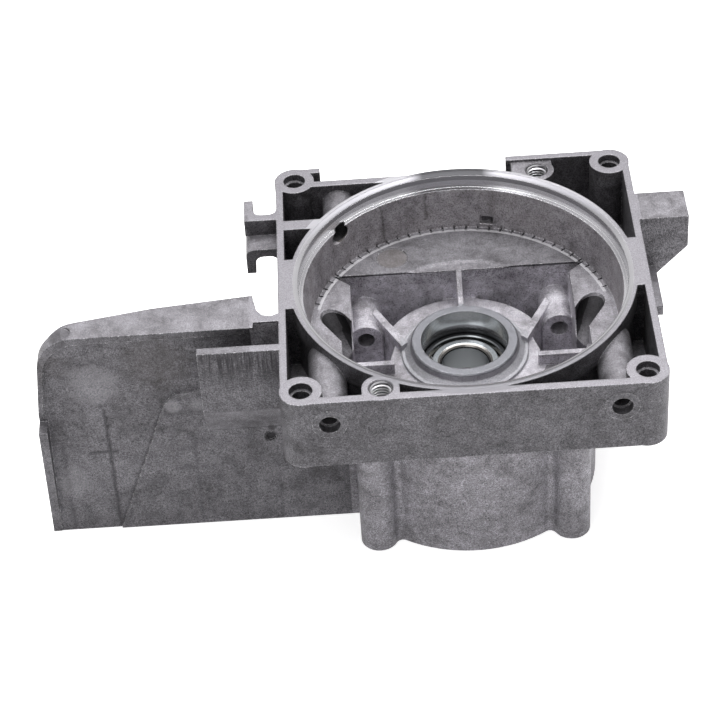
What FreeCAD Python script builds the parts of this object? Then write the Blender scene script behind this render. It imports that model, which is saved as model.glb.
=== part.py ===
import FreeCAD, Part
import math
import os
import re
import Sketcher

# Die-cast aluminium crankcase half of a motor-driven machine, with its shaft bearing.
# Millimetres, +Z up. The origin is on the axis of the motor pot, at the machined top face.
# +X goes to the right of the box flange, -Y is the front wall with the two cross holes.

V = FreeCAD.Vector
doc = FreeCAD.newDocument("CrankcaseHalf")
sheet = doc.addObject("Spreadsheet::Sheet", "Sizes")

SIZES = [
    # Box flange: a square open-topped box round the pot, screwed down at its four corners
    ("hole_pitch", 96.0),
    ("edge_margin", 5.7),
    ("pattern_shift", 1.4),
    ("box_height", 23.4),
    ("box_wall", 2.1),
    ("front_wall", 2.6),
    ("box_base", 2.2),
    ("box_corner", 5.6),
    ("corner_boss", 6.0),
    ("corner_bore", 3.3),
    ("corner_bore_depth", 2.3),
    ("corner_pilot", 2.6),
    # Back wall: only two pieces of it stand, an inset wall closes the gap at the left
    ("tab_length", 13.6),
    ("gap_right", 16.8),
    ("inset_drop", 6.5),
    ("inset_wall", 2.5),
    ("rib_back", 30.0),
    ("rib_width", 4.3),
    ("fill_left_front", 10.9),
    ("fill_left_back", 11.5),
    ("fill_right_front", 10.1),
    ("fill_right_back", 11.8),
    # Motor pot: thin rim, lead-in cone, machined register, ledge, cast wall with draft
    ("register_radius", 47.9),
    ("register_depth", 5.0),
    ("rim_wall", 1.2),
    ("lead_in", 1.4),
    ("lead_in_depth", 0.6),
    ("ledge", 1.3),
    ("pot_draft", 1.3),
    ("pot_wall", 3.0),
    ("pot_depth", 18.5),
    # Cross holes and their round bosses, which run front to back through the pockets
    ("cross_height", 7.9),
    ("cross_front", 40.5),
    ("cross_back", 35.0),
    ("cross_boss", 5.4),
    ("cross_bore", 3.0),
    ("cross_back_height", 7.0),
    ("cross_back_bore", 2.4),
    ("cross_bore_depth", 2.5),
    ("cross_pilot", 2.4),
    ("cross_pad", 4.9),
    ("cross_pad_rise", 0.3),
    # Threaded holes for M6 screws
    ("tapped_bore", 3.0),
    ("tapped_chamfer", 0.6),
    ("tapped_boss", 5.3),
    ("tapped_depth", 14.0),
    ("tapped_front_x", -25.9),
    ("tapped_front_inset", 5.0),
    ("tapped_back_x", 25.8),
    ("tapped_back_inset", 6.3),
    ("tapped_back_drop", 1.0),
    ("platform_left", 18.3),
    # Well in the pot floor, and the two deep pockets beside the hub
    ("well_back", 25.0),
    ("well_depth", 30.0),
    ("well_radius", 36.4),
    ("well_wing", 38.0),
    ("well_back_half", 33.0),
    ("well_back_bend", 20.5),
    ("well_front_half", 36.3),
    ("well_front_bend", -1.8),
    ("well_front", -33.0),
    ("slab", 3.6),
    ("pocket_inner", 22.2),
    ("pocket_depth", 44.0),
    ("island_radius", 24.9),
    ("lobe_x", 38.0),
    ("lobe_y", 4.8),
    ("lobe_radius", 3.7),
    ("lobe_tilt", 50.0),
    ("lobe_turn", 59.0),
    ("lobe_length", 18.0),
    ("lobe_lead", 6.0),
    ("screw_boss_x", 29.1),
    ("screw_boss_height", 32.2),
    ("screw_boss_radius", 5.1),
    ("screw_boss_face", 10.6),
    ("screw_bore", 2.6),
    ("front_rib_y", -6.4),
    ("front_rib_top", 26.0),
    ("web", 1.8),
    ("brace_top", 27.2),
    ("centre_rib", 1.6),
    # Hub and bearing seat
    ("hub_top", 25.15),
    ("hub_radius", 16.0),
    ("hub_skirt", 16.8),
    ("hub_pad", 18.8),
    ("hub_pad_rise", 1.0),
    ("hub_shoulder", 11.4),
    ("hub_floor", 3.4),
    # Shaft bearing, open, with a deep bore and a wide mouth
    ("bearing_outer", 13.0),
    ("bearing_bore", 7.0),
    ("bearing_width", 9.0),
    ("bearing_top", 33.7),
    ("bearing_land", 11.5),
    ("bearing_shoulder", 10.1),
    ("bearing_chamfer", 0.3),
    ("bearing_mouth", 1.3),
    ("bearing_mouth_depth", 1.05),
    ("ball_radius", 1.19),
    ("ball_clearance", 0.03),
    ("cage_thickness", 0.7),
    ("cage_gap", 0.25),
    # Gear drum below, with four screw columns and a casing each side round the pockets
    ("drum_radius", 39.0),
    ("drum_wall", 3.2),
    ("drum_base", 74.5),
    ("drum_ceiling", 50.0),
    ("column_x", 28.7),
    ("column_y", 31.0),
    ("column_radius", 5.6),
    ("column_bore", 2.1),
    ("column_bore_depth", 16.0),
    ("column_blend", 2.0),
    ("casing_half", 35.8),
    ("casing_bulge", 4.4),
    ("bulge_depth", 27.0),
    ("casing_front", -2.0),
    ("casing_back", 27.6),
    ("casing_depth", 49.0),
    ("casing_slope", 3.0),
    # Wing: a long guard plate to the left, with a top flange and a lip at its far end
    ("wing_thickness", 2.4),
    ("wing_back_y", -13.6),
    ("wing_lean", 3.4),
    ("wing_right", 33.4),
    ("wing_end", 123.6),
    ("wing_foot", 127.3),
    ("wing_shoulder", 126.0),
    ("wing_shoulder_drop", 29.0),
    ("wing_corner", 11.5),
    ("wing_raise", 0.6),
    ("flange_thickness", 2.3),
    ("neck_gap", 7.3),
    ("flange_front_y", -18.3),
    ("flange_back_right", -3.9),
    ("flange_back_middle", -6.9),
    ("flange_middle", 90.0),
    ("flange_back_left", -11.8),
    ("flange_left", 116.5),
    ("lip_front_y", -22.6),
    ("lip_top", 31.2),
    ("lip_thickness", 2.5),
    ("dimple_x", 115.6),
    ("dimple_y", -15.2),
    ("dimple_radius", 2.4),
    ("dimple_depth", 0.5),
    # Guide tab in front of the wing, making a slot with it
    ("tab_left", 77.0),
    ("tab_front_y", -28.7),
    ("tab_thickness", 2.7),
    ("tab_drop", 22.0),
    ("tab_foot_drop", 39.5),
    # Ear and rail on the right wall
    ("ear_length", 14.7),
    ("ear_front_y", 20.0),
    ("ear_back_y", 32.6),
    ("ear_drop", 11.0),
    ("ear_foot", 4.9),
    ("ear_foot_drop", 21.8),
    ("rail_width", 5.2),
    ("rail_front_y", 1.0),
    ("rail_drop", 18.0),
    ("rail_height", 3.4),
    # Two cable hooks on the left wall
    ("hook_strip", 5.6),
    ("hook_web", 2.7),
    ("hook_length", 9.7),
    ("hook_link_y", 31.0),
    ("hook_tab_end", 40.9),
    ("hook_round", 2.4),
    ("hook_shelf_front", 24.0),
    ("hook_leg_drop", 14.3),
    # Register ticks: small radial notches round the edge of the pot floor
    ("tick_pitch", 4.6),
    ("tick_width", 0.55),
    ("tick_length", 1.5),
    ("tick_depth", 0.6),
    # Marks of the mould: a relief round the rotor, ejector marks, a drain notch
    ("relief_radius", 29.8),
    ("relief_depth", 0.5),
    ("relief_slope", 1.5),
    ("ejector_x", 19.8),
    ("ejector_y", 32.3),
    ("ejector_radius", 4.8),
    ("ejector_depth", 0.3),
    ("notch_left", 8.0),
    ("notch_right", 12.0),
    ("notch_top", 14.4),
    ("notch_foot", 17.2),
    ("notch_depth", 1.6),
    ("mark_x", 58.9),
    ("mark_z", 42.0),
    ("mark_radius", 1.5),
    ("mark_depth", 0.6),
    ("overlap", 1.0),
]

ALIASES = {}
for row, (alias, size) in enumerate(SIZES, start=1):
    cell = "B%d" % row
    sheet.set("A%d" % row, alias.replace("_", " "))
    sheet.set(cell, str(size))
    sheet.setAlias(cell, alias)
    ALIASES[alias] = size
doc.recompute()

BALL_COUNT = 15
TICK_FIRST = 16.0
TICK_LAST = 164.0
MOUTH_TURNS = (0, 30, 60, 90)


def ref(text):
    """Turns a formula in plain size names into one that reads the sheet."""
    return re.sub(r"[a-z_]+", lambda m: "Sizes." + m.group(0) if m.group(0) in ALIASES else m.group(0), text)


def bind(obj, **formulas):
    for prop, formula in formulas.items():
        obj.setExpression(prop.replace("__", "."), ref(formula))
    return obj


def place(obj, x="0", y="0", z="0"):
    for axis, formula in (("x", x), ("y", y), ("z", z)):
        obj.setExpression("Placement.Base." + axis, ref(formula))
    return obj


def block(name, x, y, z):
    """A box between two X, two Y and two Z formulas."""
    box = doc.addObject("Part::Box", name)
    bind(box, Length="(%s)-(%s)" % (x[1], x[0]), Width="(%s)-(%s)" % (y[1], y[0]),
         Height="(%s)-(%s)" % (z[1], z[0]))
    return place(box, x[0], y[0], z[0])


def rod(name, x, y, z, radius):
    """An upright cylinder between two Z formulas."""
    cyl = doc.addObject("Part::Cylinder", name)
    bind(cyl, Radius=radius, Height="(%s)-(%s)" % (z[1], z[0]))
    return place(cyl, x, y, z[0])


def bar(name, x, y, z, radius):
    """A cylinder that lies front to back, between two Y formulas."""
    cyl = doc.addObject("Part::Cylinder", name)
    bind(cyl, Radius=radius, Height="(%s)-(%s)" % (y[1], y[0]))
    cyl.Placement = FreeCAD.Placement(V(0, 0, 0), FreeCAD.Rotation(V(1, 0, 0), -90))
    return place(cyl, x, y[0], z)


PLANES = {
    "top": FreeCAD.Rotation(),
    "front": FreeCAD.Rotation(V(1, 0, 0), 90),
    "side": FreeCAD.Rotation(V(1, 1, 1), 120),
}


def outline(name, plane, points):
    """A closed sketch whose corners sit at pairs of formulas in the named plane."""
    sketch = doc.addObject("Sketcher::SketchObject", name)
    sketch.Placement = FreeCAD.Placement(V(0, 0, 0), PLANES[plane])
    count = len(points)
    ring = [V(math.cos(2 * math.pi * i / count), math.sin(2 * math.pi * i / count), 0) for i in range(count)]
    for i in range(count):
        sketch.addGeometry(Part.LineSegment(ring[i], ring[(i + 1) % count]), False)
    for i in range(count):
        sketch.addConstraint(Sketcher.Constraint("Coincident", i, 2, (i + 1) % count, 1))
    for i, corner in enumerate(points):
        for kind, formula, start in zip(("DistanceX", "DistanceY"), corner, (ring[i].x, ring[i].y)):
            number = sketch.addConstraint(Sketcher.Constraint(kind, i, 1, start))
            sketch.setExpression("Constraints[%d]" % number, ref(formula))
    return sketch


def prism(name, plane, points, start, end):
    """An outline in the top, front or side plane, stretched between two places on the third axis."""
    sketch = outline(name + "Outline", plane, points)
    solid = doc.addObject("Part::Extrusion", name)
    solid.Base = sketch
    solid.DirMode = "Normal"
    solid.Solid = True
    if plane == "front":
        bind(solid, LengthFwd="-(%s)" % start, LengthRev="%s" % end)
    else:
        bind(solid, LengthFwd="%s" % end, LengthRev="-(%s)" % start)
    return solid


def lathe(name, points):
    """A full turn about the pot axis of an outline given as radius and height formulas."""
    sketch = outline(name + "Outline", "front", points)
    solid = doc.addObject("Part::Revolution", name)
    solid.Source = sketch
    solid.Axis = V(0, 0, 1)
    solid.Base = V(0, 0, 0)
    solid.Angle = 360.0
    solid.Solid = True
    return solid


def mirrored(name, source):
    """The same piece on the other side of the YZ plane."""
    twin = doc.addObject("Part::Mirroring", name)
    twin.Source = source
    twin.Base = V(0, 0, 0)
    twin.Normal = V(1, 0, 0)
    return twin


def both_sides(name, source):
    return [source, mirrored(name, source)]


def fuse(name, pieces):
    joined = doc.addObject("Part::MultiFuse", name)
    joined.Shapes = pieces
    return joined


def cut(name, base, tools):
    tool = tools[0] if len(tools) == 1 else fuse(name + "Tools", tools)
    carved = doc.addObject("Part::Cut", name)
    carved.Base = base
    carved.Tool = tool
    return carved


def common(name, first, second):
    shared = doc.addObject("Part::Common", name)
    shared.Base = first
    shared.Tool = second
    return shared


def rounded(name, source, radius_name, picks):
    """Rounds the straight edges whose middle points picks() accepts."""
    doc.recompute()
    radius = ALIASES[radius_name]
    chosen = []
    for number, edge in enumerate(source.Shape.Edges, start=1):
        middle = edge.valueAt((edge.FirstParameter + edge.LastParameter) / 2)
        ends = edge.Vertexes
        way = (ends[-1].Point - ends[0].Point)
        if way.Length > 0 and picks(middle, way.normalize()):
            chosen.append((number, radius, radius))
    if not chosen:
        raise RuntimeError(name + " found no edge to round")
    fillet = doc.addObject("Part::Fillet", name)
    fillet.Base = source
    fillet.Edges = chosen
    return fillet


def size(alias):
    return ALIASES[alias]


# Places that several features share
BOX_X = "(hole_pitch/2+edge_margin)"
BOX_FRONT = "(pattern_shift-hole_pitch/2-edge_margin)"
BOX_BACK = "(pattern_shift+hole_pitch/2+edge_margin)"
INSET = "(pattern_shift+hole_pitch/2+edge_margin-inset_drop)"
FLANGE_X = "(hole_pitch/2+edge_margin+neck_gap)"
HOOK_X = "(hole_pitch/2+edge_margin+hook_length)"
TAPPED_FRONT_Y = "(pattern_shift-hole_pitch/2-edge_margin+tapped_front_inset)"
TAPPED_BACK_Y = "(pattern_shift+hole_pitch/2+edge_margin-tapped_back_inset)"
RIM_X = "(register_radius+lead_in+rim_wall)"
POT_TOP_X = "(register_radius-ledge)"
POT_FLOOR_X = "(register_radius-ledge-pot_draft)"
BEARING_FOOT = "(bearing_top+bearing_width)"
PITCH_X = "((bearing_land+bearing_shoulder)/2)"
QUARTERS = (("BackLeft", "-", "+"), ("BackRight", "+", "+"), ("FrontLeft", "-", "-"), ("FrontRight", "+", "-"))


def box_shell():
    """Open box with round corners, a base plate and the gap in its back wall."""
    whole = block("BoxBlank", ("-" + BOX_X, BOX_X), (BOX_FRONT, BOX_BACK), ("-box_height", "0"))
    corner = rounded("BoxRounded", whole, "box_corner", lambda m, d: abs(d.z) > 0.99)
    hollow = block("BoxHollow", ("-%s+box_wall" % BOX_X, "%s-box_wall" % BOX_X),
                   (BOX_FRONT + "+front_wall", BOX_BACK + "-box_wall"), ("-box_height+box_base", "overlap"))
    gap = block("BackGap", ("-%s+tab_length" % BOX_X, "gap_right"), (INSET, BOX_BACK + "+overlap"),
                ("-box_height-overlap", "overlap"))
    return cut("BoxShell", corner, [hollow, gap])


def box_inner_walls():
    """Inset wall behind the pot, the cross rib at the left and the corner bosses."""
    inset = block("InsetWall", ("-%s+tab_length-corner_boss+box_wall" % BOX_X, "-register_radius/4"),
                  (INSET + "-inset_wall", INSET), ("-box_height", "0"))
    rib = block("SideRib", ("-%s" % BOX_X, "-register_radius*0.8"),
                ("rib_back-rib_width", "rib_back"), ("-box_height", "0"))
    left = block("FillLeft", ("-%s" % BOX_X, "-register_radius*0.8"), ("-fill_left_front", "fill_left_back"), ("-box_height", "0"))
    right = block("FillRight", ("register_radius*0.8", BOX_X), ("-fill_right_front", "fill_right_back"), ("-box_height", "0"))
    bosses = [left, right]
    for name, sx, sy in QUARTERS:
        bosses.append(rod("Boss" + name, "0%shole_pitch/2" % sx, "pattern_shift%shole_pitch/2" % sy,
                          ("-box_height", "0"), "corner_boss"))
    return [inset, rib] + bosses


def corner_holes():
    """Screw holes in the corners: wide at the mouth, narrower below the step."""
    holes = []
    for name, sx, sy in QUARTERS:
        x, y = "0%shole_pitch/2" % sx, "pattern_shift%shole_pitch/2" % sy
        holes.append(rod("Mouth" + name, x, y, ("-corner_bore_depth", "overlap"), "corner_bore"))
        holes.append(rod("Pilot" + name, x, y, ("-box_height-overlap", "overlap"), "corner_pilot"))
    return holes


def pot_body():
    """Outside of the pot, from the rim down to the base of the box."""
    return lathe("PotBody", [
        ("0", "0"), (RIM_X, "0"), (RIM_X, "-register_depth-1.5"),
        ("%s+pot_wall" % POT_TOP_X, "-register_depth-3"),
        ("%s+pot_wall" % POT_TOP_X, "-box_height"), ("0", "-box_height")])


def pot_hollow():
    """Inside of the pot: lead-in cone, register, ledge and cast wall."""
    return lathe("PotHollow", [
        ("0", "overlap"), ("register_radius+lead_in", "overlap"), ("register_radius+lead_in", "0"),
        ("register_radius", "-lead_in_depth"), ("register_radius", "-register_depth"),
        (POT_TOP_X, "-register_depth"), (POT_FLOOR_X, "-pot_depth"), ("0", "-pot_depth")])


def cross_bosses():
    """Round bosses round the cross holes, from the walls to the pot."""
    bosses = []
    for name, sx in (("Left", "-"), ("Right", "+")):
        x = "0%scross_front" % sx
        bosses.append(bar("CrossBoss" + name, x, (BOX_FRONT, "-register_radius/2"), "-cross_height", "cross_boss"))
        bosses.append(bar("CrossPad" + name, x, (BOX_FRONT + "-cross_pad_rise", BOX_FRONT + "+overlap"),
                          "-cross_height", "cross_pad"))
    bosses.append(bar("CrossBossBack", "-cross_back", ("register_radius/2", INSET + "-inset_wall/2"),
                      "-cross_back_height", "cross_boss-overlap/2"))
    return bosses


def cross_holes():
    holes = []
    for name, sx in (("Left", "-"), ("Right", "+")):
        x = "0%scross_front" % sx
        holes.append(bar("CrossMouth" + name, x, (BOX_FRONT + "-overlap", BOX_FRONT + "+cross_bore_depth"),
                         "-cross_height", "cross_bore"))
        holes.append(bar("CrossPilot" + name, x, (BOX_FRONT + "-overlap", "-register_radius/3"),
                         "-cross_height", "cross_pilot"))
    holes.append(bar("CrossBack", "-cross_back", ("register_radius/3", INSET + "+overlap"),
                     "-cross_back_height", "cross_back_bore"))
    return holes


def tapped_bosses():
    """Round boss at the front, and a low platform inside the back wall."""
    front = rod("TappedBoss", "tapped_front_x", TAPPED_FRONT_Y, ("-box_height", "0"), "tapped_boss")
    front_web = block("TappedWeb", ("tapped_front_x-tapped_boss", "tapped_front_x+tapped_boss"),
                      (BOX_FRONT + "+overlap", TAPPED_FRONT_Y), ("-box_height", "0"))
    back = rod("PlatformBoss", "tapped_back_x", TAPPED_BACK_Y, ("-box_height", "-tapped_back_drop"), "tapped_boss")
    platform = block("Platform", ("platform_left", "tapped_back_x"),
                     (TAPPED_BACK_Y + "-tapped_boss", BOX_BACK + "-overlap"), ("-box_height", "-tapped_back_drop"))
    shoulder = block("PlatformShoulder", ("tapped_back_x", "tapped_back_x+tapped_boss-overlap/2"),
                     (TAPPED_BACK_Y, BOX_BACK + "-overlap"), ("-box_height", "-tapped_back_drop"))
    return [front, front_web, back, platform, shoulder]


def tapped_holes():
    """Blind holes at thread size, each with a chamfered mouth."""
    holes = []
    for name, x, y, top in (("Front", "tapped_front_x", TAPPED_FRONT_Y, "0"),
                            ("Back", "tapped_back_x", TAPPED_BACK_Y, "-tapped_back_drop")):
        holes.append(rod("Tapped" + name, x, y, ("%s-tapped_depth" % top, "overlap"), "tapped_bore"))
        mouth = doc.addObject("Part::Cone", "TappedMouth" + name)
        bind(mouth, Radius1="tapped_bore", Radius2="tapped_bore+tapped_chamfer*2", Height="tapped_chamfer*2")
        holes.append(place(mouth, x, y, "%s-tapped_chamfer" % top))
    return holes


def drum():
    """Gear drum with its screw columns and the casings of the side pockets."""
    pieces = [rod("Barrel", "0", "0", ("-drum_base", "-box_height+box_base/2"), "drum_radius")]
    for name, sx, sy in QUARTERS:
        pieces.append(rod("Column" + name, "0%scolumn_x" % sx, "0%scolumn_y" % sy,
                          ("-drum_base", "-box_height+box_base/2"), "column_radius"))
    blended = rounded("DrumBlended", fuse("DrumBlank", pieces), "column_blend",
                      lambda m, d: abs(d.z) > 0.99 and abs(math.hypot(m.x, m.y) - size("drum_radius")) < 0.01
                      and abs(m.y) > size("column_blend") and abs(m.x) > size("column_blend"))
    side = prism("CasingRight", "front", [
        ("column_x-column_radius", "-box_height+box_base/2"),
        ("casing_half+casing_bulge", "-box_height+box_base/2"), ("casing_half+casing_bulge", "-bulge_depth"),
        ("casing_half", "-bulge_depth-casing_bulge*1.2"), ("casing_half", "-casing_depth+casing_slope"), ("casing_half-casing_slope", "-casing_depth"),
        ("column_x-column_radius", "-casing_depth")], "casing_front", "casing_back")
    return [blended] + both_sides("CasingLeft", side)


def drum_hollow():
    """Gear room, open at the bottom, with higher ceilings under the island and behind the well."""
    inner = "drum_radius-drum_wall"
    room = rod("GearRoom", "0", "0", ("-drum_base-overlap", "-drum_ceiling"), inner)
    disc = rod("UnderDisc", "0", "0", ("-drum_ceiling-overlap", "-well_depth-slab"), "pocket_inner-drum_wall")
    front = block("UnderFront", ("-pocket_inner+drum_wall", "pocket_inner-drum_wall"),
                  ("well_front+drum_wall", "0"), ("-drum_ceiling-overlap", "-well_depth-slab"))
    keep = rod("HubKeep", "0", "0", ("-%s-hub_floor" % BEARING_FOOT, "-well_depth"), "hub_skirt")
    under = cut("UnderWell", fuse("UnderBlank", [disc, front]), [keep])
    back_rod = rod("BackRoomRod", "0", "0", ("-drum_ceiling-overlap", "-box_height"), inner)
    back_box = block("BackRoomBox", ("-drum_radius", "drum_radius"), ("well_back+drum_wall", "drum_radius"),
                     ("-drum_ceiling-overlap", "-box_height"))
    return [room, under, common("BackRoom", back_rod, back_box)]


def column_holes():
    return [rod("ColumnHole" + name, "0%scolumn_x" % sx, "0%scolumn_y" % sy,
                ("-drum_base-overlap", "-drum_base+column_bore_depth"), "column_bore") for name, sx, sy in QUARTERS]


def well_outline():
    """Half of the well seen from above, right side, then its mirror image."""
    right = [
        ("well_wing", "well_back"), ("well_back_half", "well_back_bend"),
        ("well_back_half", "lobe_y-lobe_radius"), ("well_front_half", "well_front_bend-overlap"),
        ("well_front_half", "well_front*0.45"), ("well_front_half*0.7", "well_front")]
    left = [("-(%s)" % x, y) for x, y in reversed(right)]
    return right + left


def well():
    """Shallow well in the pot floor, limited to the drum below it."""
    upper = prism("WellMouth", "top", well_outline(), "-box_height+overlap/2", "-pot_depth+overlap")
    lower_shape = prism("WellShape", "top", well_outline(), "-well_depth", "-pot_depth")
    limit = rod("WellLimit", "0", "0", ("-well_depth", "-pot_depth"), "well_radius")
    lower = common("WellLower", lower_shape, limit)
    return [upper, lower]


def side_pocket():
    """Deep pocket beside the hub, right side, round the island and with a throat before the brace."""
    shape = prism("PocketShape", "top", [
        ("island_radius*0.2", "well_back"), ("well_back_half", "well_back"),
        ("well_back_half", "lobe_y-lobe_radius"), ("well_front_half", "well_front_bend-overlap"),
        ("well_front_half", "front_rib_y-web"), ("pocket_inner", "front_rib_y-web"),
        ("pocket_inner", "0"), ("island_radius*0.2", "0")], "-pocket_depth", "-pot_depth")
    island = rod("Island", "0", "0", ("-drum_base", "0"), "island_radius")
    edge = block("IslandEdge", ("0", "island_radius"), ("0", "drum_radius"), ("-drum_base", "0"))
    throat = prism("PocketThroat", "top", [
        ("pocket_inner", "-overlap"), ("pocket_inner-web", "web*3"), ("screw_boss_x-overlap*3", "screw_boss_face+web*3"),
        ("screw_boss_x", "screw_boss_face+web*3"), ("screw_boss_x", "-overlap")], "-pocket_depth", "-pot_depth")
    return fuse("PocketRight", [cut("PocketRound", shape, [common("IslandRight", island, edge)]), throat])


def lobe():
    """Slanting round-ended opening from the side shelf, running on as an open trench into the pocket."""
    heading = FreeCAD.Rotation(V(0, 0, 1), 180 + size("lobe_turn"))
    slant = heading.multiply(FreeCAD.Rotation(V(0, 1, 0), 180 - size("lobe_tilt")))
    hole = doc.addObject("Part::Cylinder", "LobeRound")
    bind(hole, Radius="lobe_radius", Height="lobe_length")
    trench = prism("LobeTrench", "top", [
        ("-lobe_length", "-lobe_radius"), ("0", "-lobe_radius"), ("0", "lobe_radius"),
        ("-lobe_length", "lobe_radius")], "lobe_lead", "lobe_length")
    for piece in (hole, trench):
        piece.Placement = FreeCAD.Placement(V(0, 0, 0), slant)
        place(piece, "lobe_x+lobe_lead*sin(lobe_tilt)*cos(lobe_turn)",
              "lobe_y+lobe_lead*sin(lobe_tilt)*sin(lobe_turn)", "-pot_depth+lobe_lead*cos(lobe_tilt)")
    return fuse("LobeRight", [hole, trench])


def inner_ribs():
    """Screw boss, braces and ribs that stand in the well, right side."""
    boss = bar("ScrewBossRight", "screw_boss_x", ("screw_boss_face", "well_back+overlap"),
               "-screw_boss_height", "screw_boss_radius")
    saddle = block("ScrewSaddle", ("screw_boss_x-screw_boss_radius", "screw_boss_x+screw_boss_radius"),
                   ("screw_boss_face", "well_back+overlap"), ("-pocket_depth", "-screw_boss_height"))
    front = block("FrontRibRight", ("pocket_inner-overlap", "well_front_half+overlap"),
                  ("front_rib_y-web", "front_rib_y"), ("-pocket_depth", "-front_rib_top"))
    brace = prism("BraceRight", "top", [
        ("hub_radius+web/2", "web*1.5"), ("hub_radius+web*1.5", "web*0.6"),
        ("screw_boss_x-overlap*2.2", "screw_boss_face+web*3.6"),
        ("screw_boss_x-overlap*3.4", "screw_boss_face+web*5")], "-pocket_depth", "-brace_top")
    return [boss, saddle, front, brace]


def centre_rib():
    """Thin rib from the back of the well down to the hub."""
    return prism("CentreRib", "side", [
        ("well_back+overlap", "-pot_depth"), ("well_back", "-pot_depth-overlap*0.3"),
        ("hub_radius-overlap", "-hub_top-overlap*0.6"), ("hub_radius-overlap", "-well_depth-overlap"),
        ("well_back+overlap", "-well_depth-overlap")], "-centre_rib/2", "centre_rib/2")


def hub():
    """Turned hub that stands on the island and carries the bearing."""
    return lathe("Hub", [
        ("0", "-hub_top"), ("hub_radius-0.5", "-hub_top"), ("hub_radius", "-hub_top-0.5"),
        ("hub_radius+0.2", "-well_depth+hub_pad_rise+1.4"), ("hub_pad-0.9", "-well_depth+hub_pad_rise"),
        ("hub_pad", "-well_depth+hub_pad_rise"), ("hub_pad+0.2", "-well_depth-overlap"),
        ("hub_skirt", "-well_depth-slab"), ("hub_skirt", "-%s-hub_floor" % BEARING_FOOT),
        ("0", "-%s-hub_floor" % BEARING_FOOT)])


def hub_bores():
    return [
        rod("BearingSeat", "0", "0", ("-" + BEARING_FOOT, "-hub_top+overlap"), "bearing_outer"),
        rod("ShaftHole", "0", "0", ("-drum_base", "-hub_top+overlap"), "hub_shoulder")]


def screw_bores():
    return [bar("ScrewBore" + name, "0%sscrew_boss_x" % sx, ("screw_boss_face-overlap", "drum_radius+overlap"),
                "-screw_boss_height", "screw_bore") for name, sx in (("Left", "-"), ("Right", "+"))]


def ticks():
    """Radial notches at the edge of the pot floor."""
    notches = []
    count = int((TICK_LAST - TICK_FIRST) / size("tick_pitch"))
    for i in range(count + 1):
        angle = TICK_FIRST + i * size("tick_pitch")
        notch = doc.addObject("Part::Box", "Tick%02d" % i)
        bind(notch, Length="tick_length", Width="tick_width", Height="tick_depth+overlap")
        turn = FreeCAD.Rotation(V(0, 0, 1), angle)
        notch.Placement = FreeCAD.Placement(V(0, 0, 0), turn)
        reach = "(%s-tick_length+0.2)" % POT_FLOOR_X
        place(notch, "%s*cos(%g)" % (reach, angle), "%s*sin(%g)" % (reach, angle), "-pot_depth-tick_depth")
        notches.append(notch)
    return notches


def wing_profile(extra):
    """Leaning section of the wing plate, from its top edge to its foot."""
    front = "wing_back_y-wing_thickness-(%s)" % extra
    return [("wing_back_y", "0"), (front, "0"), (front + "-wing_lean", "-drum_base"),
            ("wing_back_y-wing_lean", "-drum_base")]


def wing_edge():
    """Front view of the wing: neck, top, rounded far corner, leaning end and foot."""
    return [("-%s+box_wall/2" % BOX_X, "0"), ("-%s+box_wall/2" % BOX_X, "-box_height+box_base/2"),
            ("-wing_right", "-box_height+box_base/2"), ("-wing_right", "-drum_base"),
            ("-wing_foot", "-drum_base"), ("-wing_shoulder", "-wing_shoulder_drop"),
            ("-wing_end+0.7", "0")]


def far_corner(m, d):
    return abs(d.y) > 0.99 and m.x < -size("wing_end") + 5 and m.z > -4


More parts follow.
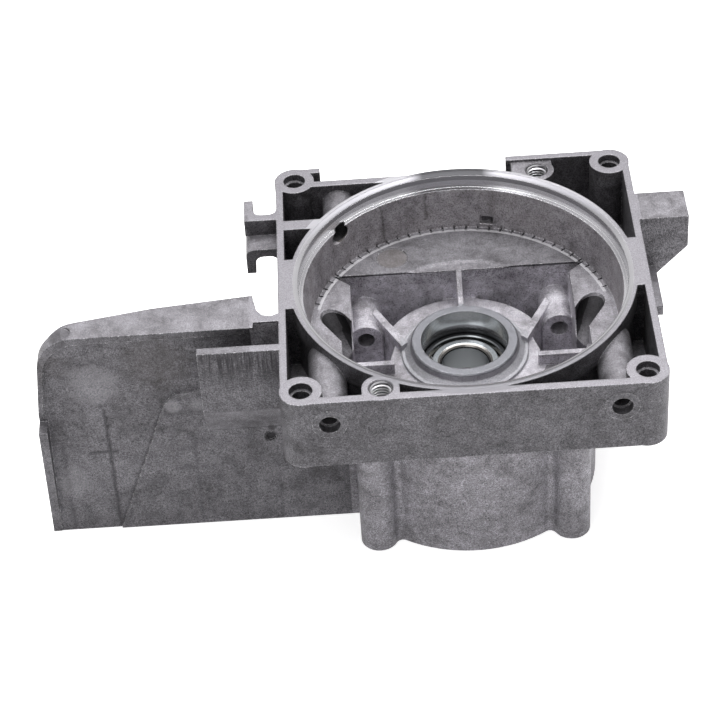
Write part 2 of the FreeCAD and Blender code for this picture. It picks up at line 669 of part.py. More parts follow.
def wing():
    """Guard plate with its raised lower field, top flange and lip."""
    lean = prism("WingLean", "side", wing_profile("0"), "-wing_foot-overlap", "-wing_right")
    shape = prism("WingShape", "front", wing_edge(), "-drum_radius", "0")
    plate = common("WingPlate", lean, rounded("WingShapeRounded", shape, "wing_corner", far_corner))

    thick = prism("WingThick", "side", wing_profile("wing_raise"), "-wing_foot-overlap", "-wing_right")
    field = prism("WingField", "front", [
        ("-tab_left", "-tab_drop-1"), ("-tab_left-9", "-tab_drop-2.2"), ("-tab_left-12", "-tab_drop-5.5"),
        ("-tab_left-29.5", "-drum_base"), ("-wing_right", "-drum_base"), ("-wing_right", "-tab_drop-1.4")],
        "-drum_radius", "0")
    raised = common("WingRaised", thick, field)

    band_outer = prism("BandOuter", "front", [
        ("-" + FLANGE_X, "0"), ("-" + FLANGE_X, "-wing_shoulder_drop"),
        ("-wing_shoulder", "-wing_shoulder_drop"), ("-wing_end+0.7", "0")], "flange_front_y", "0")
    band_round = rounded("BandOuterRounded", band_outer, "wing_corner", far_corner)
    band_inner = prism("BandInner", "front", [
        ("-%s+overlap" % FLANGE_X, "-flange_thickness"), ("-%s+overlap" % FLANGE_X, "-drum_radius"),
        ("-wing_shoulder+flange_thickness*0.65", "-drum_radius"),
        ("-wing_shoulder+flange_thickness*0.65", "-wing_shoulder_drop"),
        ("-wing_end+flange_thickness*0.65+0.5", "-flange_thickness")], "-drum_radius", "overlap")
    band_inner_round = rounded(
        "BandInnerRounded", band_inner, "wing_corner",
        far_corner)
    band = cut("Band", band_round, [band_inner_round])
    plan = prism("FlangePlan", "top", [
        ("-" + FLANGE_X, "flange_front_y-overlap"), ("-" + FLANGE_X, "flange_back_right"),
        ("-flange_middle", "flange_back_middle"), ("-flange_left", "flange_back_left"),
        ("-wing_end+1", "wing_back_y-wing_thickness/2"), ("-wing_foot-overlap", "wing_back_y-wing_thickness/2"),
        ("-wing_foot-overlap", "flange_front_y-overlap")], "-drum_base", "overlap")
    flange = common("TopFlange", band, plan)

    lip_side = prism("LipSide", "side", [
        ("wing_back_y-overlap", "-lip_top"), ("lip_front_y", "-lip_top-0.6"),
        ("wing_back_y-wing_thickness-wing_lean-0.2", "-drum_base"), ("wing_back_y-wing_lean", "-drum_base")],
        "-wing_foot-overlap", "-drum_radius")
    lip_front = prism("LipFront", "front", [
        ("-wing_shoulder+lip_thickness", "-lip_top"), ("-wing_shoulder", "-lip_top"),
        ("-wing_shoulder", "-wing_shoulder_drop"), ("-wing_foot", "-drum_base"),
        ("-wing_foot+lip_thickness", "-drum_base")], "-drum_radius", "0")
    lip = common("Lip", lip_side, lip_front)
    neck = prism("NeckBlend", "top", [
        ("-%s-overlap" % FLANGE_X, "flange_back_right-3"), ("-%s-overlap" % FLANGE_X, "wing_back_y-overlap"),
        ("-%s+overlap" % BOX_X, "wing_back_y-overlap"), ("-%s+overlap" % BOX_X, "wing_back_y+1.6"),
        ("-%s-2.2" % BOX_X, "wing_back_y"), ("-%s-4.7" % BOX_X, "wing_back_y+0.7"),
        ("-%s-6.3" % BOX_X, "wing_back_y+3"), ("-%s+0.4" % FLANGE_X, "flange_back_right-3")],
        "-flange_thickness", "0")
    return [plate, raised, flange, lip, neck]


def guide_tab():
    """Short plate in front of the wing, closed to it at its foot."""
    inner = "tab_front_y+tab_thickness"
    return prism("GuideTab", "side", [
        ("tab_front_y", "0"), ("tab_front_y", "-tab_drop"),
        ("wing_back_y-wing_thickness-wing_lean/2", "-tab_foot_drop"), ("wing_back_y-wing_thickness", "-tab_drop-3"),
        (inner, "-tab_drop+1.5"), (inner, "0")], "-tab_left", "-%s+box_wall/2" % BOX_X)


def ear():
    """Heavy ear on the right wall and the rail below it."""
    block_shape = prism("EarBlock", "front", [
        (BOX_X + "-box_wall/2", "0"), (BOX_X + "+ear_length", "0"), (BOX_X + "+ear_length", "-ear_drop"),
        (BOX_X + "+ear_foot", "-ear_foot_drop"), (BOX_X + "-box_wall/2", "-ear_foot_drop")], "ear_front_y", "ear_back_y")
    rail = block("Rail", (BOX_X + "-box_wall/2", BOX_X + "+rail_width"), ("rail_front_y", "ear_front_y+overlap"),
                 ("-rail_drop-rail_height", "-rail_drop"))
    return [block_shape, rail]


def arc(x, y, radius, first, last, steps=4):
    """Corner formulas along an arc, angles in degrees."""
    turns = [first + (last - first) * i / steps for i in range(steps + 1)]
    return [("%s+%s*cos(%g)" % (x, radius, a), "%s+%s*sin(%g)" % (y, radius, a)) for a in turns]


def hooks():
    """Back hook lies in the top plane, front hook hangs from its shelf."""
    wall = "-%s+box_wall/2" % BOX_X
    link_back = "hook_link_y+hook_web"
    back = prism("HookBack", "top", [
        (wall, "hook_link_y"), ("-" + HOOK_X, "hook_link_y"), ("-" + HOOK_X, "hook_tab_end"),
        ("-%s+hook_web" % HOOK_X, "hook_tab_end")]
        + arc("-%s+hook_web+hook_round" % HOOK_X, link_back + "+hook_round", "hook_round", 180, 270)
        + arc("-%s-hook_round" % BOX_X, link_back + "+hook_round", "hook_round", 270, 360)
        + [(wall, link_back + "+hook_round")], "-hook_strip", "0")
    shelf = "-hook_strip-hook_web"
    front = prism("HookFront", "front", [(wall, "-hook_strip"), ("-%s-overlap" % BOX_X, "-hook_strip")]
        + arc("-%s+hook_round" % HOOK_X, "-hook_strip-hook_round", "hook_round", 90, 180)
        + [("-" + HOOK_X, "-hook_leg_drop"), ("-%s+hook_web" % HOOK_X, "-hook_leg_drop")]
        + arc("-%s+hook_web+hook_round" % HOOK_X, shelf + "-hook_round", "hook_round", 180, 90)
        + arc("-%s-hook_round" % BOX_X, shelf + "-hook_round", "hook_round", 90, 0)
        + [(wall, shelf + "-hook_round")], "hook_shelf_front", link_back)
    return [back, front]


def mould_marks():
    """Shallow marks: dimple on the flange, ejector disc, rotor relief, drain notch, spot on the wing."""
    dimple = rod("Dimple", "-dimple_x", "dimple_y", ("-dimple_depth", "overlap"), "dimple_radius")
    ejector = rod("Ejector", "-ejector_x", "ejector_y", ("-pot_depth-ejector_depth", "-pot_depth+overlap"),
                  "ejector_radius")
    relief = lathe("Relief", [
        ("0", "-pot_depth+overlap"), ("relief_radius", "-pot_depth+overlap"), ("relief_radius", "-pot_depth"),
        ("relief_radius-relief_slope", "-pot_depth-relief_depth"), ("0", "-pot_depth-relief_depth")])
    notch = block("DrainNotch", ("notch_left", "notch_right"),
                  (POT_FLOOR_X + "-register_radius/8", POT_FLOOR_X + "+notch_depth/2"), ("-notch_foot", "-notch_top"))
    spot_y = "wing_back_y-wing_thickness-wing_raise-wing_lean*mark_z/drum_base"
    spot = bar("WingSpot", "-mark_x", (spot_y + "-overlap", spot_y + "+mark_depth"), "-mark_z", "mark_radius")
    return [dimple, ejector, relief, notch, spot]


def housing():
    """The whole casting: everything that is poured together, then everything machined away."""
    outer = [box_shell(), pot_body()] + box_inner_walls() + cross_bosses() + tapped_bosses() + drum()
    outer += wing() + [guide_tab()] + ear() + hooks()
    poured = fuse("Poured", outer)
    pocket = side_pocket()
    slant = lobe()
    hollows = [pot_hollow()] + well() + both_sides("PocketLeft", pocket) + both_sides("LobeLeft", slant)
    cored = cut("Cored", poured, hollows)
    ribs = inner_ribs()
    rib_pieces = []
    for rib in ribs:
        rib_pieces += both_sides(rib.Name + "Twin", rib)
    ribbed = fuse("Ribbed", [cored, hub(), centre_rib()] + rib_pieces)
    machined = cut("Machined", ribbed, corner_holes() + cross_holes() + tapped_holes() + drum_hollow() +
                   column_holes() + hub_bores() + screw_bores() + ticks() + mould_marks())
    machined.Label = "housing"
    return machined


def raceway(name):
    """Ring of ball section, a little larger than the balls, to be cut from a bearing ring."""
    torus = doc.addObject("Part::Torus", name)
    bind(torus, Radius1=PITCH_X, Radius2="ball_radius+ball_clearance")
    return place(torus, "0", "0", "-bearing_top-bearing_width/2")


def grooved(label, points):
    """A turned ring of the given section with the ball groove cut from it."""
    ring = cut(label + "_grooved", lathe(label + "_blank", points), [raceway(label + "_groove")])
    ring.Label = label
    return ring


def outer_ring():
    """Ring with a chamfer at each edge of its fitted side and at its inner edges."""
    top, foot, c = "-bearing_top", "-" + BEARING_FOOT, "bearing_chamfer"
    return grooved("bearing_outer_ring", [
        ("bearing_land+" + c, foot), ("bearing_outer-" + c, foot), ("bearing_outer", foot + "+" + c),
        ("bearing_outer", top + "-" + c), ("bearing_outer-" + c, top), ("bearing_land+" + c, top),
        ("bearing_land", top + "-" + c), ("bearing_land", foot + "+" + c)])


def inner_ring():
    """Ring with a deep bore, whose mouth opens in a rounded cone of three steps."""
    top, foot, c = "-bearing_top", "-" + BEARING_FOOT, "bearing_chamfer"
    mouth = [("bearing_bore+bearing_mouth*(1-sin(%g))" % turn, top + "-bearing_mouth_depth*(1-cos(%g))" % turn)
             for turn in MOUTH_TURNS]
    return grooved("bearing_inner_ring", [
        ("bearing_bore+" + c, foot), ("bearing_shoulder-" + c, foot), ("bearing_shoulder", foot + "+" + c),
        ("bearing_shoulder", top + "-" + c), ("bearing_shoulder-" + c, top)] + mouth
        + [("bearing_bore", foot + "+" + c)])


def ball_places():
    pitch = (size("bearing_land") + size("bearing_shoulder")) / 2
    for i in range(BALL_COUNT):
        yield i, 360.0 * i / BALL_COUNT, pitch


def ball(label, angle):
    sphere = doc.addObject("Part::Sphere", label + "_solid")
    bind(sphere, Radius="ball_radius")
    place(sphere, "%s*cos(%g)" % (PITCH_X, angle), "%s*sin(%g)" % (PITCH_X, angle), "-bearing_top-bearing_width/2")
    sphere.Label = label
    return sphere


def cage():
    """Thin crown between the rings with a round pocket for each ball."""
    middle = "-bearing_top-bearing_width/2"
    inside, outside = PITCH_X + "-cage_thickness/2", PITCH_X + "+cage_thickness/2"
    crown = lathe("cage_blank", [
        (inside, middle + "-ball_radius*0.4"), (outside, middle + "-ball_radius*0.4"),
        (outside, middle + "+ball_radius+0.6"), (inside, middle + "+ball_radius+0.6")])
    pockets = []
    for i, angle, _ in ball_places():
        pocket = doc.addObject("Part::Sphere", "CagePocket%02d" % i)
        bind(pocket, Radius="ball_radius+cage_gap")
        pockets.append(place(pocket, "%s*cos(%g)" % (PITCH_X, angle), "%s*sin(%g)" % (PITCH_X, angle), middle))
    crown_cut = cut("cage_cut", crown, pockets)
    crown_cut.Label = "bearing_cage"
    return crown_cut


parts = [housing(),
         outer_ring(),
         inner_ring(),
         cage()]
for number, turn, _ in ball_places():
    parts.append(ball("bearing_ball_%02d" % (number + 1), turn))

doc.recompute()
for item in doc.Objects:
    if "Invalid" in item.State or "Error" in item.State:
        raise RuntimeError("%s failed: %s" % (item.Name, item.State))
os.makedirs("parts", exist_ok=True)
for item in parts:
    shape = item.Shape
    if shape.isNull() or not shape.isValid():
        raise RuntimeError(item.Label + " has no valid shape")
    if len(shape.Solids) != 1:
        print("warning", item.Label, "has", len(shape.Solids), "solids")
    shape.exportStep(os.path.join("parts", item.Label + ".step"))
    print(item.Label, "volume %.0f mm3" % shape.Volume)
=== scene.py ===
import math
import bpy
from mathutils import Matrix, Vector


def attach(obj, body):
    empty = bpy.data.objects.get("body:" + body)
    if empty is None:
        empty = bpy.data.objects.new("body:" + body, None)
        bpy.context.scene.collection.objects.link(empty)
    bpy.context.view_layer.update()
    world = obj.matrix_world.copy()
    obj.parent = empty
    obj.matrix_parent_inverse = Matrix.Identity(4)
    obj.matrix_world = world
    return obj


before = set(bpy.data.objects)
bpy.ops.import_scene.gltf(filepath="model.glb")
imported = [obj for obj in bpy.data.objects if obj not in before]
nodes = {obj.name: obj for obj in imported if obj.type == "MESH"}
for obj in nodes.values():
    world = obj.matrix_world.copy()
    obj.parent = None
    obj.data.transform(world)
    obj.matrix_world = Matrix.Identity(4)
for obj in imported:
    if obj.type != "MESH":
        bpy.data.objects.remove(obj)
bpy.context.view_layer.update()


# Housing: one die casting of grey aluminium, poured in a steel mould and not blasted afterwards, so
# the skin is mottled and slightly grained. The top of the flange is milled, the register and the
# bearing seat in the hub are turned: they look paler and smoother than the skin.
def linear(hex_colour):
    """An sRGB hex colour as the linear values that Blender's sockets take."""
    values = [int(hex_colour[i:i + 2], 16) / 255 for i in (1, 3, 5)]
    return tuple(v / 12.92 if v <= 0.04045 else ((v + 0.055) / 1.055) ** 2.4 for v in values) + (1.0,)


def add(tree, kind, *inputs, out=0, **settings):
    """Adds a shader node and returns one output. Inputs stand in order, or in a dict by name or number;
    a socket is linked and any other value is set. MapRange takes a value, its two ends and the result
    at each end. In a Mix 0 is the share, and its two sides are 2 and 3 for numbers, 4 and 5 for vectors
    and 6 and 7 for colours."""
    made = tree.nodes.new("ShaderNode" + kind)
    for key, value in settings.items():
        setattr(made, key, value)
    by_name = inputs[0] if inputs and isinstance(inputs[0], dict) else dict(enumerate(inputs))
    for key, value in by_name.items():
        if isinstance(value, bpy.types.NodeSocket):
            tree.links.new(value, made.inputs[key])
        else:
            made.inputs[key].default_value = value
    return made.outputs[out] if made.outputs else made


def new_tree(name):
    """A material and its empty node tree."""
    material = bpy.data.materials.new(name)
    material.use_nodes = True
    material.node_tree.nodes.clear()
    return material, material.node_tree


def place_in_mm(tree):
    """Where a point of the surface lies in the shared frame, in mm."""
    return add(tree, "VectorMath", {0: add(tree, "TexCoord", out="Object"), "Scale": 1000.0}, operation="SCALE")


def places(tree):
    """Where a point of the surface lies, as a vector in mm and as its measures x, y, z and radius, with
    up and out, which say how far the surface faces upward and away from the axis."""
    mm = place_in_mm(tree)
    found = {axis: add(tree, "SeparateXYZ", mm, out=i) for i, axis in enumerate("xyz")}
    flat = add(tree, "CombineXYZ", found["x"], found["y"], 0.0)
    found["radius"] = add(tree, "VectorMath", flat, operation="LENGTH", out="Value")
    facing = add(tree, "NewGeometry", out="True Normal")
    found["up"] = add(tree, "SeparateXYZ", facing, out=2)
    outward = add(tree, "VectorMath", flat, operation="NORMALIZE")
    found["out"] = add(tree, "VectorMath", outward, facing, operation="DOT_PRODUCT", out="Value")
    return mm, found


def zone(tree, found, **limits):
    """1 where each named measure lies between its two limits, else 0."""
    mask = 1.0
    for axis, (low, high) in limits.items():
        band = add(tree, "Math", found[axis], (low + high) / 2, (high - low) / 2, operation="COMPARE")
        mask = add(tree, "Math", mask, band, operation="MULTIPLY")
    return mask


def dress(obj, material, smooth_deg=32):
    """Gives a piece its material and smooth shading between its sharp edges."""
    obj.data.materials.clear()
    obj.data.materials.append(material)
    for face in obj.data.polygons:
        face.use_smooth = True
        face.material_index = 0
    obj.data.set_sharp_from_angle(angle=math.radians(smooth_deg))


material, tree = new_tree("cast_aluminium")
mm, found = places(tree)
# Flow marks of the melt: clouds of about 14 mm and 3.5 mm. The real grain of the skin is about
# 0.1 mm and is drawn 0.3 to 0.6 mm wide, so that it shows at this size.
cloud = add(tree, "TexNoise", {"Vector": mm, "Scale": 1 / 14, "Detail": 5.0, "Roughness": 0.6,
                               "Distortion": 0.6})
flow = add(tree, "TexNoise", {"Vector": mm, "Scale": 1 / 3.5, "Detail": 7.0, "Roughness": 0.72,
                              "Distortion": 0.3})
grain = add(tree, "TexNoise", {"Vector": mm, "Scale": 1 / 0.6, "Detail": 3.0, "Roughness": 0.7})
fine = add(tree, "TexNoise", {"Vector": mm, "Scale": 1 / 0.3, "Detail": 2.0, "Roughness": 0.6})
mottle = add(tree, "Mix", {0: 0.55, 2: cloud, 3: flow})
skin = add(tree, "ValToRGB", mottle)
for stop, position, colour in zip(skin.node.color_ramp.elements, (0.36, 0.66), ("#535154", "#8f8d92")):
    stop.position, stop.color = position, linear(colour)
speckle = add(tree, "MapRange", add(tree, "Mix", {0: 0.5, 2: grain, 3: fine}), 0.34, 0.66, 0.38, 1.64)
soft_speckle = add(tree, "Mix", {0: 0.5, 2: speckle, 3: 1.0})

# Regions of the casting that are named more than once, in mm.
under_box = dict(radius=(0.0, 50.0), z=(-75.0, -23.6))
pot_skin = dict(radius=(44.0, 46.9), z=(-18.45, -5.1))
in_well = dict(z=(-44.5, -19.3))
in_opening = in_well | dict(radius=(33.4, 43.9))
left, right = dict(x=(-44.0, -33.4)), dict(x=(33.4, 44.0))
facing_axis, facing_out = dict(out=(-1.1, 0.1)), dict(out=(0.02, 1.1))
plate = facing_out | dict(x=(-130.0, -54.0), y=(-30.0, -15.0))
pot_back = dict(radius=(44.0, 47.0), y=(20.0, 50.0))
screw_boss_at_back = dict(y=(30.0, 60.0), radius=(40.0, 65.0))
tapped_hole = dict(z=(-20.0, -0.62))

# Painted light and shade in the skin's tone. The drum, the pot wall, the well, the openings, the neck
# and the foot of the guide tab are drawn paler than the skin is, as painted fill light where little
# light comes in, and a few places are drawn darker as painted shade. Each row has what a region adds
# to the tone: drum and columns, pot wall, well, openings, front floor of the well, shallow relief in
# the pot's floor, ear, neck, foot of the guide tab, and front wall.
painted_light_and_shade = ((0.58, under_box | dict(x=(-36.6, 50.0), y=(-50.0, -12.0))),
           (0.58, under_box | dict(y=(-12.0, 50.0))),
           (1.95, pot_skin),
           (1.9, in_well | dict(radius=(0.0, 36.6), y=(-34.0, -12.0))),
           (1.9, in_well | dict(x=(-33.4, 33.4), y=(-12.0, 25.3))),
           (1.9, in_opening | left | facing_axis | dict(y=(-12.0, 30.0))),
           (1.9, in_opening | right | facing_axis | dict(y=(-12.0, 30.0))),
           (-0.95, dict(radius=(24.9, 36.6), y=(-33.4, -6.4), z=(-30.6, -29.4))),
           (0.3, dict(radius=(0.0, 29.9), z=(-19.3, -18.65))),
           (0.15, dict(x=(54.6, 70.0), up=(-1.1, 0.5))),
           (1.4, facing_out | dict(x=(-62.0, -54.0), y=(-19.0, -12.0), z=(-20.0, -0.5))),
           (0.3, facing_out | dict(x=(-77.5, -54.0), y=(-28.4, -18.9), z=(-39.6, -17.0))),
           (-0.06, dict(x=(-60.0, 60.0), y=(-60.0, -50.0), z=(-30.0, -0.5))))
# Painted top light: faces that look upward are drawn lighter than faces that look sideways or down.
facing_up = add(tree, "Math", found["up"], 0.0, operation="MAXIMUM")
tone = add(tree, "Math", facing_up, 0.38, 0.63, operation="MULTIPLY_ADD")
for amount, limits in painted_light_and_shade:
    tone = add(tree, "Math", zone(tree, found, **limits), amount, tone, operation="MULTIPLY_ADD")
# Level places in the pot and the well catch the lamp themselves, so the painted light is taken back there.
for excess, limits in ((-0.27, dict(radius=(0.0, 43.9), z=(-19.3, -18.4))),
                       (-1.75, in_well | dict(radius=(0.0, 43.9)))):
    level = add(tree, "Math", facing_up, zone(tree, found, **limits), operation="MULTIPLY")
    tone = add(tree, "Math", level, excess, tone, operation="MULTIPLY_ADD")
# The floor of the pot grows darker from its front to its back.
floor_front = add(tree, "MapRange", found["y"], 17.0, 27.0, 0.45, 0.0)
pot_floor = zone(tree, found, radius=(30.0, 43.9), z=(-18.65, -18.4))
tone = add(tree, "Math", pot_floor, floor_front, tone, operation="MULTIPLY_ADD")
shade = add(tree, "Mix", {0: facing_up, 2: speckle, 3: soft_speckle})
tone = add(tree, "Math", add(tree, "Math", shade, tone, operation="MULTIPLY"), 3.1, operation="MINIMUM")
cast = add(tree, "VectorMath", {0: skin, "Scale": tone}, operation="SCALE")

# Machined places, from the milled top of the flange down to the bearing seat. The turned grooves are
# about 0.1 mm apart and are drawn as rings of about 0.5 mm.
turning = add(tree, "CombineXYZ", found["radius"], 0.0, found["z"])
rings = add(tree, "TexNoise", {"Vector": turning, "Scale": 1 / 0.5, "Detail": 2.0})
bright = add(tree, "Mix", {0: rings, 6: linear("#a09fa2"), 7: linear("#c4c3c6")}, data_type="RGBA", out=2)
top_face = zone(tree, found, x=(-62.0, 54.5), y=(-53.0, 56.0), z=(-0.05, 1.0), up=(0.9, 1.1))
milled = add(tree, "Mix", {0: flow, 6: linear("#69676b"), 7: linear("#838186")}, data_type="RGBA", out=2)
milled = add(tree, "VectorMath", {0: milled, "Scale": soft_speckle}, operation="SCALE")
rim_side = zone(tree, found, radius=(50.3, 60.0), up=(-1.1, 0.5))
register = zone(tree, found, radius=(46.7, 49.35), z=(-5.06, 1.0))
register = add(tree, "Math", register, rim_side, operation="SUBTRACT", use_clamp=True)
register_wall = zone(tree, found, radius=(47.4, 48.4), z=(-5.2, -2.3), up=(-0.3, 0.3))
register_ledge = zone(tree, found, radius=(46.7, 48.4), z=(-5.3, -4.6), up=(0.5, 1.1))
# Painted shade: the rim and the lead-in are drawn darker towards the front and the back than at the sides.
off_sides = add(tree, "Math", found["y"], operation="ABSOLUTE")
off_sides = add(tree, "MapRange", off_sides, 8.0, 38.0, 0.0, 0.93)
rim = zone(tree, found, radius=(46.7, 51.9), z=(-0.3, 1.0))
rim = add(tree, "Math", rim, off_sides, operation="MULTIPLY")
lead_in = zone(tree, found, radius=(47.92, 49.6), z=(-2.4, 0.0), y=(0.0, 60.0))
lead_in = add(tree, "Math", lead_in, off_sides, operation="MULTIPLY")
# Painted reflections on the turned grooves: at the back a bright flash is painted at both sides and a
# dull grey in the middle.
at_back = add(tree, "MapRange", found["y"], 8.0, 25.0, 0.0, 1.0)
off_middle = add(tree, "Math", found["x"], operation="ABSOLUTE")
dull_reflection = add(tree, "MapRange", off_middle, 9.0, 15.0, 1.0, 0.0)
dull_reflection = add(tree, "Math", dull_reflection, at_back, operation="MULTIPLY")
flash_reflection = add(tree, "Math", at_back, dull_reflection, operation="SUBTRACT")
floor_line = zone(tree, found, radius=(43.25, 44.2), y=(10.0, 45.0), z=(-18.9, -18.2))
hub_rim = zone(tree, found, radius=(0.0, 16.1), z=(-25.9, -25.0))
hub_skin = zone(tree, found, radius=(0.0, 19.2), z=(-30.2, -25.0))
seat = zone(tree, found, radius=(0.0, 13.05), z=(-46.2, -25.3))
# Painted reflection high in the bearing seat, and painted shade low in it towards the bearing.
seat_reflection = zone(tree, found, radius=(0.0, 13.05), z=(-30.4, -25.3))
seat_shade = add(tree, "MapRange", found["z"], -33.2, -30.4, 0.93, 0.0)
turned = add(tree, "Math", register, seat, operation="MAXIMUM")
body = cast
# Rows of the rim, the lead-in and the register paint reflection and shade on turned grooves; the last two paint
# a reflection high in the bearing seat and shade low in it.
for mask, share, colour in ((hub_skin, 0.6, linear("#8f9094")),
                            (top_face, 1.0, milled),
                            (turned, 1.0, bright),
                            (hub_rim, 0.8, linear("#67686d")),
                            (rim, 1.0, linear("#68676b")),
                            (lead_in, 1.0, linear("#48474b")),
                            (rim, dull_reflection, linear("#403f42")),
                            (rim, flash_reflection, linear("#a2a1a5")),
                            (lead_in, dull_reflection, linear("#2c2c2e")),
                            (lead_in, flash_reflection, linear("#727175")),
                            (register_wall, dull_reflection, linear("#dddce0")),
                            (register_wall, flash_reflection, linear("#fdfdff")),
                            (register_ledge, dull_reflection, linear("#676668")),
                            (floor_line, 0.55, linear("#c9c8cb")),
                            (seat_reflection, 0.8, linear("#f4f8fa")),
                            (seat, seat_shade, linear("#101214"))):
    amount = add(tree, "Math", mask, share, operation="MULTIPLY")
    body = add(tree, "Mix", {0: amount, 6: body, 7: colour}, data_type="RGBA", out=2)

# Stains of old oil and mould lines: dark strokes with a ragged edge. Each has the measure it lies
# across, its middle and half width, its strength, and the zone that it crosses, in mm. The mould
# step slants down the guard plate, so it has a measure of its own; its stroke is painted shade
# along the small step of the raised field.
ragged = add(tree, "Math", flow, 3.0, -1.5, operation="MULTIPLY_ADD")
found["mould_step"] = add(tree, "Math", found["z"], -0.3723, found["x"], operation="MULTIPLY_ADD")
strokes = (("x", -106.7, 1.0, 0.8, plate | dict(z=(-74.0, -28.5))),
           ("x", -120.6, 1.3, 0.45, plate | dict(z=(-74.0, -40.0))),
           ("x", -81.5, 0.9, 0.35, plate | dict(z=(-74.0, -38.0))),
           ("x", -57.5, 0.9, 0.3, plate | dict(z=(-74.0, -56.0))),
           ("z", -44.6, 0.9, 0.75, plate | dict(x=(-113.3, -104.3))),
           ("z", -11.5, 0.8, 0.5, plate | dict(x=(-113.0, -104.5))),
           ("z", -27.0, 0.8, 0.5, plate | dict(x=(-110.6, -105.7))),
           ("z", -52.0, 1.0, 0.3, plate | dict(x=(-88.0, -74.0))),
           ("mould_step", -79.1, 0.45, 0.42, plate | dict(z=(-74.6, -26.5))),
           ("x", -8.5, 0.8, 0.5, pot_back | dict(z=(-14.5, -5.2))),
           ("x", -22.0, 0.5, 0.5, pot_back | dict(z=(-17.0, -5.2))),
           ("x", 12.0, 2.6, 0.28, pot_back | dict(z=(-17.0, -5.2))))
stains_and_step_shade = 0.0
for axis, middle, half_width, strength, limits in strokes:
    across = add(tree, "Math", found[axis], ragged, operation="ADD")
    off = add(tree, "Math", add(tree, "Math", across, middle, operation="SUBTRACT"), operation="ABSOLUTE")
    mark = add(tree, "MapRange", off, 0.0, half_width, strength, 0.0)
    mark = add(tree, "Math", mark, zone(tree, found, **limits), operation="MULTIPLY")
    stains_and_step_shade = add(tree, "Math", stains_and_step_shade, mark, operation="MAXIMUM")

# The guide tab has drag marks of the mould: upright lines of about 0.9 mm near its top.
stretched = add(tree, "VectorMath", mm, (1.1, 1.0, 0.07), operation="MULTIPLY")
drag = add(tree, "TexNoise", {"Vector": stretched, "Scale": 1 / 0.9, "Detail": 3.0, "Roughness": 0.7})
drag = add(tree, "MapRange", drag, 0.42, 0.6, 0.0, 0.95)
near_top = add(tree, "MapRange", found["z"], -13.0, -5.0, 0.12, 0.95)
tab_front = zone(tree, found, x=(-77.5, -54.0), y=(-29.0, -28.5))
drag_share = add(tree, "Math", near_top, tab_front, operation="MULTIPLY")
drag = add(tree, "Math", drag, drag_share, operation="MULTIPLY")
stains_and_step_shade = add(tree, "Math", stains_and_step_shade, drag, operation="MAXIMUM")
body = add(tree, "Mix", {0: stains_and_step_shade, 6: body, 7: linear("#333134")}, data_type="RGBA", out=2)

# Round marks, from the pale clouds where the mould was hottest to oily dents and ejector marks, and
# painted shade in the hole of the screw boss at the back and down the two tapped holes that the
# thread stands in. Each has its place, reach, edge width, raggedness, strength, colour and zone.
from_front = add(tree, "CombineXYZ", found["x"], found["z"], 0.0)
from_above = add(tree, "CombineXYZ", found["x"], found["y"], 0.0)
round_marks = ((from_front, (-109.0, -18.5), 8.0, 3.0, 9.0, 0.14, "#b9b7bc", plate),
               (from_front, (-119.0, -56.0), 6.5, 3.0, 8.0, 0.13, "#b9b7bc", plate),
               (from_front, (-86.6, -28.4), 2.9, 1.2, 1.2, 0.2, "#b9b7bc", plate),
               (from_front, (-79.5, -28.0), 2.9, 2.0, 1.2, 0.16, "#b9b7bc", plate),
               (from_front, (-90.0, -12.0), 12.0, 7.0, 6.0, 0.3, "#3f3a37", plate),
               (from_front, (-121.5, -10.0), 7.0, 4.0, 4.0, 0.25, "#3f3a37", plate),
               (from_front, (-58.9, -42.0), 2.2, 0.6, 0.6, 0.85, "#222123", plate),
               (from_front, (-58.4, -38.3), 1.9, 0.9, 0.9, 0.7, "#2c2a2c", plate),
               (from_above, (-116.4, -15.6), 3.5, 1.0, 0.5, 0.5, "#39373a", dict(z=(-3.0, -0.02))),
               (from_above, (-19.8, 32.3), 4.9, 0.6, 0.4, 0.32, "#5f5750", dict(z=(-19.5, -18.0))),
               # Painted shade: the hole in the screw boss at the back, and the two tapped holes below.
               (from_front, (-35.0, -7.0), 2.7, 0.3, 0.0, 0.85, "#19181a", screw_boss_at_back),
               (from_above, (-25.9, -47.3), 3.3, 0.2, 0.0, 0.9, "#19181a", tapped_hole),
               (from_above, (25.8, 48.8), 3.3, 0.2, 0.0, 0.9, "#19181a", tapped_hole))
for plane, (across, along), reach, edge_width, raggedness, strength, colour, limits in round_marks:
    away = add(tree, "VectorMath", plane, (across, along, 0.0), operation="DISTANCE", out="Value")
    away = add(tree, "Math", ragged, raggedness, away, operation="MULTIPLY_ADD")
    mark = add(tree, "MapRange", away, reach - edge_width, reach, strength, 0.0)
    mark = add(tree, "Math", mark, zone(tree, found, **limits), operation="MULTIPLY")
    body = add(tree, "Mix", {0: mark, 6: body, 7: linear(colour)}, data_type="RGBA", out=2)

# A brown film of oil on the pot wall, and painted shade in the slanting openings, darkest at their upper ends.
film = add(tree, "MapRange", cloud, 0.35, 0.65, 0.2, 0.5)
opening_shade = add(tree, "MapRange", found["z"], -32.0, -24.0, 0.45, 0.93)
film_and_shade = [(pot_skin, film, "#625a54")]
for side in (right, left):
    opening = in_opening | side | dict(y=(-3.0, 24.0))
    film_and_shade += [(opening | facing_axis | dict(up=(-1.1, 0.12)), opening_shade, "#1d1c1e"),
              (opening | dict(up=(0.12, 1.1)), opening_shade, "#1d1c1e")]
for limits, share, colour in film_and_shade:
    amount = add(tree, "Math", zone(tree, found, **limits), share, operation="MULTIPLY")
    body = add(tree, "Mix", {0: amount, 6: body, 7: linear(colour)}, data_type="RGBA", out=2)

